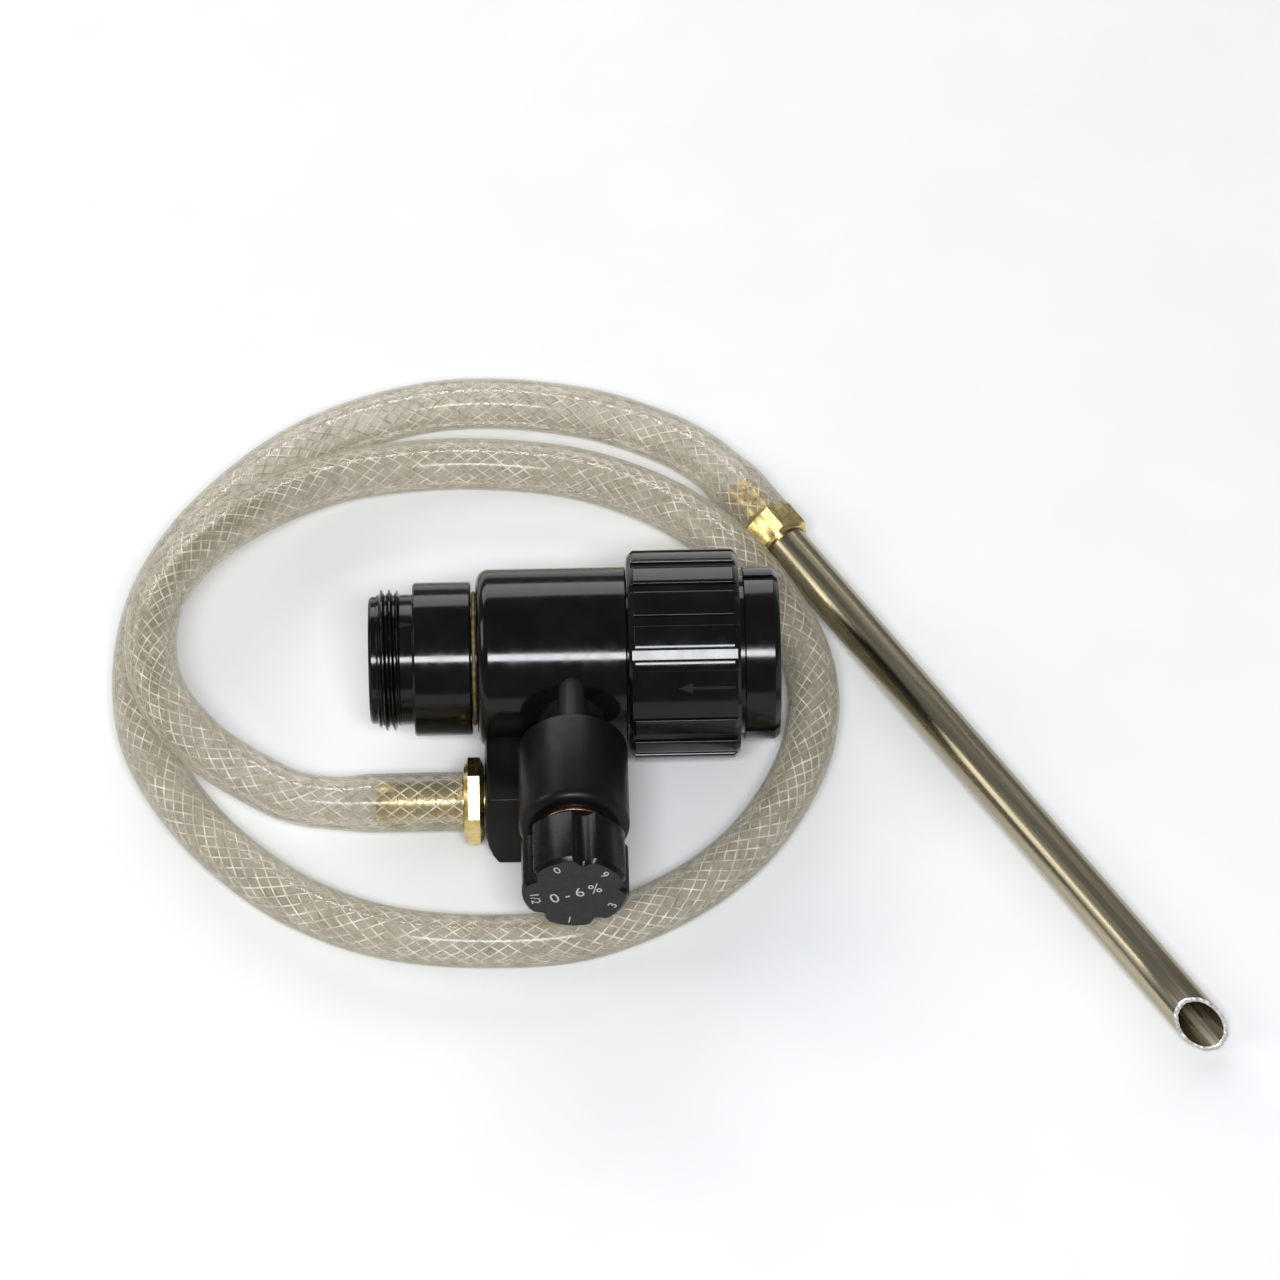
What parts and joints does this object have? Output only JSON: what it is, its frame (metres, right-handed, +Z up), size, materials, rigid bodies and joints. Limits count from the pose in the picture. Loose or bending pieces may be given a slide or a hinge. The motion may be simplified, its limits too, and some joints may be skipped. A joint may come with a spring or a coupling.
{
  "type": "in-line foam eductor",
  "caption": "Hose-line eductor that draws liquid through a metering knob valve, with a clear braided pick-up hose and a steel suction tube.",
  "frame": {"origin": "on the resting surface, under the middle of the eductor without its hose, hose fitting and pick-up tube", "axes": "+X along the flow axis towards the swivel inlet, -Y towards the metering knob, +Z up from the surface it lies on"},
  "size_m": [0.3922, 0.2988, 0.075],
  "materials": {
    "anodised_black": "black anodised, semi-gloss",
    "knob_black": "black, satin",
    "seal_cream": "cream seal",
    "brass": "machined brass",
    "bronze": "plain bronze",
    "steel": "bright steel",
    "tube_steel": "drawn stainless tube",
    "rubber": "black nitrile",
    "white_plastic": "white acetal",
    "clear_hose": "clear vinyl with white braid"
  },
  "bodies": {
    "root": {"outlet_adapter": "anodised_black", "outlet_seal_ring": "seal_cream", "main_body": "anodised_black", "diffuser": "brass", "jet_nozzle": "brass", "nozzle_o_ring": "rubber", "valve_housing": "anodised_black", "spigot_o_ring": "rubber", "metering_seat": "white_plastic", "valve_bonnet": "brass", "bonnet_o_ring": "rubber", "spindle_o_ring": "rubber", "thrust_washer": "bronze", "detent_spring": "steel", "check_seat": "white_plastic", "check_spring": "steel", "hose_nipple": "brass", "hose": "clear_hose", "tube_fitting": "brass", "pickup_tube": "tube_steel", "swivel_o_ring": "rubber"},
    "swivel": {"swivel_coupling": "anodised_black", "grip_ring": "anodised_black", "race_plug": "steel", "inlet_gasket": "rubber", "race_ball_1": "steel", "race_ball_2": "steel", "race_ball_3": "steel", "race_ball_4": "steel", "race_ball_5": "steel", "race_ball_6": "steel", "race_ball_7": "steel", "race_ball_8": "steel"},
    "metering_knob": {"knob": "knob_black", "knob_set_screw": "steel", "valve_spindle": "steel", "metering_disc": "steel"},
    "detent": {"detent_ball": "steel"},
    "check_valve": {"check_ball": "white_plastic"}
  },
  "joints": [
    {"name": "swivel_turn", "type": "hinge", "parent": "root", "child": "swivel", "pos_m": [0.0392, 0.037, 0.0375], "axis": [1, 0, 0], "continuous": true},
    {"name": "knob_turn", "type": "hinge", "parent": "root", "child": "metering_knob", "pos_m": [-0.0013, -0.06162, 0.04613], "axis": [0, -0.9962, 0.0872], "continuous": true},
    {"name": "detent_slide", "type": "slide", "parent": "root", "child": "detent", "axis": [0, 0.9962, -0.0872], "range_m": [0, 0.001], "stiffness_N_per_m": 300, "springref_m": -0.001, "deforming": ["detent_spring"]},
    {"name": "check_slide", "type": "slide", "parent": "root", "child": "check_valve", "axis": [1, 0, 0], "range_m": [0, 0.003], "stiffness_N_per_m": 40, "springref_m": -0.003, "deforming": ["check_spring"]}
  ]
}
